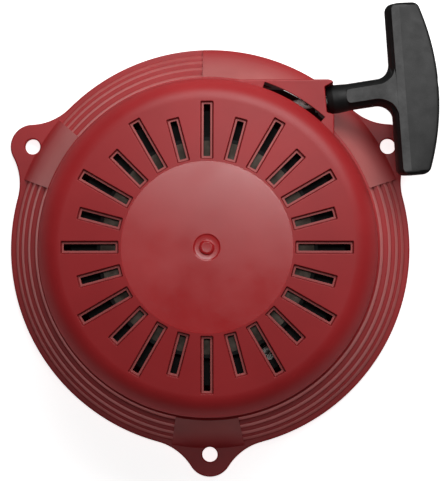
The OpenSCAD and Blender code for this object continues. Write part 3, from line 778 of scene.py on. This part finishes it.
def bar():
    """T-bar: a flat panel along its near side, a crease, and a face that falls to the bowed far side."""
    arc_sag = HANDLE_W - BAR_END_W
    arc_r = (BAR_HALF ** 2 + arc_sag ** 2) / (2 * arc_sag)
    near_r, far_r, cap_r = 3.2, 2.2, 1.6
    half_t = BAR_T / 2
    inner = BAR_HALF - near_r
    straight, bent = 14, 8
    stations = [inner * k / straight for k in range(straight + 1)]
    stations += [inner + near_r * math.sin(math.radians(90 * k / bent)) for k in range(1, bent + 1)]
    stations = [-v for v in reversed(stations[1:])] + stations
    # (depth behind a side, height) up the near side with its step to the panel, and down the far side
    rise = [(0, 0), (0.1, 2.6), (0.45, 4.2), (1.05, 5.4), (1.75, 6.15), (2.25, 6.45), (2.4, 7.1),
            (2.65, 7.42)]
    fall = [(1.7, 6.3), (0.9, 6.1), (0.35, 5.75), (0.05, 5.0), (0, 2.5), (0, 0)]
    flank = 4
    sections = []
    for v in stations:
        a = STEM_L + fillet_reach(abs(v) - inner, near_r)
        bow = math.sqrt(arc_r ** 2 - v * v) - fillet_reach(abs(v) - BAR_HALF + far_r, far_r)
        b = STEM_L + HANDLE_W - arc_r + bow
        drop = fillet_reach(abs(v) - BAR_HALF + cap_r, cap_r)
        upper = [(a + x, z - drop if z > flank else z) for x, z in rise]
        upper += [(CREASE - 0.1, half_t - drop), (CREASE + 0.15, half_t - 0.05 - drop)]
        for k in (1, 2, 3):
            x = CREASE + 0.15 + (b - 1.7 - CREASE) * k / 4
            upper.append((x, half_t - 0.08 - 1.1 * (k / 4) ** 1.3 - drop))
        upper += [(b - x, z - drop if z > flank else z) for x, z in fall]
        sections.append([(x, v, z) for x, z in mirrored(upper)])
    return loft("handle", sections)


def stem():
    """Stem with a flat panel above and below, which widens through its fillets into the bar."""
    stations = [8.5, 8.56, 8.7, 8.95, 9.3] + [10 + k for k in range(10)] + [20 + 0.5 * k for k in range(22)]
    full, end_r, widening = 10, 1.5, 15
    fillets = ((22.8, 5.5), (20.0, 7.0))  # start and radius on the upper and the lower side of the photo
    # (depth behind a side, height) from the middle of the side up to the panel, which keeps to a band
    side = [(0, 0), (0.14, 1.6), (0.62, 2.9), (1.3, 3.9), (2.0, 4.5), (2.5, 4.8), (2.6, 5.6), (2.85, 5.9)]
    band, sections = 2.6, []
    for u in stations:
        cut = end_r - math.sqrt(end_r ** 2 - (full - u) ** 2) if u < full else 0.0
        shape = []
        for start, r in fillets:
            edge = STEM_R + fillet_reach(u - start, r)
            far_r = r + band
            pad = STEM_R + r - math.sqrt(far_r ** 2 - min(max(u - start, 0), far_r) ** 2) - cut
            shape.append((edge, (edge - pad) / band))
        lift = 1 + 0.25 * ease((u - widening) / (STEM_L - widening))
        (high, high_scale), (low, low_scale) = shape
        upper = [(-low + x * low_scale, z * lift) for x, z in side]
        upper += [(high - x * high_scale, z * lift) for x, z in reversed(side)]
        sections.append([(u, v, z) for v, z in mirrored(upper)])
    return loft("stem", sections)


def build_handle():
    """Made along X from the outlet, finished there by the slope of its faces, then put in its place."""
    about_stem = Matrix.Translation((STEM_L, 0, 0)) @ turn(-BAR_LEAN) @ Matrix.Translation((-STEM_L, 0, 0))
    body = place(bar(), about_stem)
    foot = [(0, 0), (5.1, 0), (6.2, 2.6), (6.15, 5.0), (5.85, FOOT_L), (5.6, 12), (5.6, 31), (0, 31)]
    core = lathe("core", rounded(foot, [0, 0.5, 1.5, 2, 2, 0, 0, 0]), 72)
    place(core, AXIS_X)
    combine(body, [core, stem()], "UNION")
    seat, through = KNOT_U - KNOT_SEAT, 60
    bore = lathe("bore", [(0, -1), (ROPE_BORE_R + 0.5, -1), (ROPE_BORE_R, 0.6), (ROPE_BORE_R, seat),
                          (KNOT_HOLE_R, seat), (KNOT_HOLE_R, through), (0, through)], 48)
    combine(body, [place(bore, AXIS_X)], "DIFFERENCE")
    smooth(body, 24)
    finish_piece(body, GRIP)
    body.data.materials.append(GRIP_PANEL)
    body.data.materials.append(GRIP_SIDE_SHADE)
    lean, flat, steep, panel_z = math.radians(BAR_LEAN), 0.975, 0.93, 5.7
    for face in body.data.polygons:
        x, y, z = (c / MM for c in face.center)
        u = STEM_L + (x - STEM_L) * math.cos(lean) - y * math.sin(lean)
        up = abs(face.normal.z)
        if up > flat and abs(z) > panel_z and FOOT_L < x and u < CREASE:
            face.material_index = 1
        # steep faces and the foot in its pocket get painted shade
        elif up < steep or x < FOOT_L:
            face.material_index = 2
    place(body, at_outlet(ROPE_DIR))
    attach(body, "handle")
    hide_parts("handle_grip")


build_handle()

# ---------- the rope ----------

def out_of(direction, points):
    m = at_outlet(direction)
    return [tuple(m @ Vector(p)) for p in points]


def knot(name, at, size, radius):
    """Overhand knot: a closed trefoil of rope, pulled tight."""
    path = []
    for k in range(96):
        t = math.tau * k / 96
        path.append(Vector((-math.sin(3 * t) * 1.1, math.sin(t) + 2 * math.sin(2 * t),
                            math.cos(t) - 2 * math.cos(2 * t))) * size)
    return tube(name, [at @ p for p in path], radius, 14, closed=True)


def build_turns():
    """Turns on the reel: the inner ones, each stepping over to the next radius, and the outermost."""
    start = [(0, 23), (0, 25), (0, 27), (0, 29), (0.5, 31.0), (2.0, 32.4)]
    path = [Vector((x, y, ROPE_Z)) for x, y in start]
    steps, over, first = 120, 12, 8
    for k in range(first, (TURNS - 1) * steps + 1):
        turn_no, part = divmod(k, steps)
        step = ease((part - steps + over) / over)
        r = WRAP_R - (TURNS - 1 - turn_no - step) * TURN_PITCH
        path.append(Vector((*polar(r, 90 - 360 / steps * k), ROPE_Z)))
    inner = tube("inner_turns", path, ROPE_R, 14)
    ring = [(*polar(WRAP_R, -360 / steps * k), ROPE_Z) for k in range(steps)]
    outer = tube("outer_turn", ring, ROPE_R, 14, closed=True)
    wound = joined("rope_turns", [inner, outer])
    wound.data.shade_smooth()
    finish_piece(wound, ROPE, "reel_unit", ["rope_wound"])


def build_run():
    """Run of rope from the outermost turn to the knot in the handle, straight out of the outlet."""
    start, end, fixed, count = 8.0 - TANGENT_L, KNOT_U - 2.0, -20, 90
    path = [(start + (end - start) * k / count, 0, 0) for k in range(count + 1)]
    run = tube("rope_line", out_of(ROPE_DIR, path), ROPE_R, 16)
    finish_piece(run, ROPE, None, ["rope_run"])
    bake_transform(run)


def build_knots():
    """Knots that hold the two ends of the rope, in the handle and in the reel."""
    grip_knot = knot("handle_knot", at_outlet(ROPE_DIR, KNOT_U + 0.5), 1.05, 1.45)
    finish_piece(grip_knot, ROPE, "handle", ["rope_knot_handle"])
    reel_knot = knot("reel_knot", turn(90) @ Matrix.Translation((21, 0, ROPE_Z - 2.0)), 0.9, 1.35)
    finish_piece(reel_knot, ROPE, "reel_unit", ["rope_knot_reel"])


build_turns()
build_run()
build_knots()

# ---------- springs ----------

def smooth_path(points, rounds):
    """Corner-cutting of an open path."""
    pts = [Vector(p) for p in points]
    for _ in range(rounds):
        cut = [pts[0]]
        for a, b in zip(pts, pts[1:]):
            cut += [a * 0.75 + b * 0.25, a * 0.25 + b * 0.75]
        pts = cut + [pts[-1]]
    return pts


def build_springs():
    """Return spring of each ratchet, and the friction spring on the hub of the guide."""
    ring, wire, z, lift, pivot = 4.45, 0.43, 19.55, 0.92, 20
    steps = 44
    coil = [(*polar(ring, 10 * k), lift * k / steps) for k in range(1, steps + 1)]
    path = [(ring, -7, 0), (ring, -4, 0), (ring, -1.5, 0)] + coil + [(-1.8, ring, lift), (-4.9, ring, lift)]
    path = [p + Vector((pivot, 0, z)) for p in smooth_path(path, 1)]
    ratchets = (("ratchet_spring_a", 0, "first_ratchet"), ("ratchet_spring_b", 180, "second_ratchet"))
    for name, angle, body in ratchets:
        coil = tube(name + "_coil", [turn(angle) @ p for p in path], wire, 10)
        finish_piece(coil, SPRING, body, [name])
    hub, near, far, open_at, height = 8.65, 10.6, 13.4, 33, 9.4
    arc = [(*polar(hub, a), 0) for a in range(open_at + 1, 360 - open_at, 6)]
    first = [(*polar(r, open_at), 0) for r in (far, near)]
    last = [(*polar(r, 360 - open_at), 0) for r in (near, far)]
    path = smooth_path(first + arc + last, 2)
    clip = tube("friction_clip", [p + Vector((0, 0, height)) for p in path], 0.58, 12)
    finish_piece(clip, SPRING, "guide", ["friction_spring"])


build_springs()


def build_recoil_spring():
    """Flat spiral that turns with the reel, and its inner tongue, held in the slit of the post."""
    half, soft, play = STRIP_T / 2, 0.1, 0.3
    low, high = WELL_Z + play, WELL_Z + play + STRIP_H
    corners = [(soft - half, low), (half - soft, low), (half, low + soft), (half, high - soft),
               (half - soft, high), (soft - half, high), (-half, high - soft), (-half, low + soft)]
    steps, crowding = SPRING_TURNS * 48, 0.8
    sections = []
    for k in range(steps + 1):
        a = math.tau * SPRING_TURNS * k / steps
        r = SPRING_IN + (SPRING_OUT - SPRING_IN) * (k / steps) ** crowding
        sections.append([((r + e) * math.cos(a), (r + e) * math.sin(a), z) for e, z in corners])
    spiral = loft("spiral", sections)
    hook_ends = (SPRING_OUT, SPRING_OUT + STRIP_T + 1.9)
    hook = loft("hook", [[(x, e, z) for e, z in corners] for x in hook_ends])
    strip = smooth(joined("spring_strip", [spiral, hook]), 30)
    finish_piece(strip, SPRING, "reel_unit", ["recoil_spring"])
    tongue_ends = (POST_R - 2.4, SPRING_IN - half - 0.3)
    tongue = loft("spring_tongue", [[(x, e, z) for e, z in corners] for x in tongue_ends])
    finish_piece(tongue, SPRING, "housing")


build_recoil_spring()

# ---------- finishes of the pieces kept from the frame ----------

KEPT = {
    "rope_eyelet": ZINC, "threaded_insert": BRASS, "centre_screw": ZINC, "screw_washer": ZINC,
    "guide_collar": ZINC, "ratchet_guide": REEL, "ratchet_a": ZINC, "ratchet_b": ZINC, "reel": REEL,
    "spring_cover": COVER, "knot_washer": ZINC,
}
for node, material in KEPT.items():
    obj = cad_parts[node]
    obj.data.materials.clear()
    obj.data.materials.append(material)

# ---------- floor, lights and camera ----------

def build_floor():
    """Pale floor that glows like a light table, apart from a dark disc under the case, painted shade, that
    doesn't glow.
    """
    inner, outer, steps, drop = 78.0, 20000.0, 96, 0.5
    verts = [(x, y, -drop) for x, y in circle(inner, steps) + circle(outer, steps)]
    faces = [(i, (i + 1) % steps, steps + (i + 1) % steps, steps + i) for i in range(steps)]
    floor = make("floor", verts, faces + [tuple(range(steps))])
    for name, tone, glow in (("floor_glow", 0.85, 0.8), ("floor_shade_disc", 0.10, 0.0)):
        mat, _, _, shader = principled(name, grey(tone), 0.9, specular=0.1)
        shader.inputs["Emission Color"].default_value = (1, 1, 1, 1)
        shader.inputs["Emission Strength"].default_value = glow
        floor.data.materials.append(mat)
    # dark disc under the case: painted shade
    floor.data.polygons[steps].material_index = 1
    floor.visible_glossy = False


build_floor()


def softbox(name, place_at, aim, size, power):
    """Soft light that the camera doesn't see."""
    light = bpy.data.lights.new(name, "AREA")
    light.shape = "RECTANGLE"
    light.size, light.size_y = size
    light.energy = power
    obj = add_object(name, light)
    obj.location = place_at
    obj.rotation_euler = (Vector(aim) - Vector(place_at)).to_track_quat("-Z", "Y").to_euler()
    obj.visible_camera = False


softbox("key", (0.09, 0.27, 0.32), (0, 0, 0.03), (0.45, 0.2), 1.32)
softbox("overhead", (0.03, 0.142, 1.15), (0, 0, 0.04), (0.30, 0.12), 1.35)

world = bpy.data.worlds.new("studio")
world.use_nodes = True
world.node_tree.nodes["Background"].inputs["Color"].default_value = (1, 1, 1, 1)
world.node_tree.nodes["Background"].inputs["Strength"].default_value = 0.06
bpy.context.scene.world = world
bpy.context.scene.view_settings.view_transform = "Standard"

# straight down from 1 m, as in the photo, and a little off the axis
camera_data = bpy.data.cameras.new("camera")
camera_data.lens = 168.3
camera_data.sensor_width = 36
camera = add_object("camera", camera_data)
camera.location = (0.0266, -0.015, 1.0)
aim = Vector((0.00465, 0.00385, 0))
back = (camera.location - aim).normalized()
right = Vector((0, 1, 0)).cross(back).normalized()
camera.rotation_euler = Matrix((right, back.cross(right), back)).transposed().to_euler()
bpy.context.scene.camera = camera
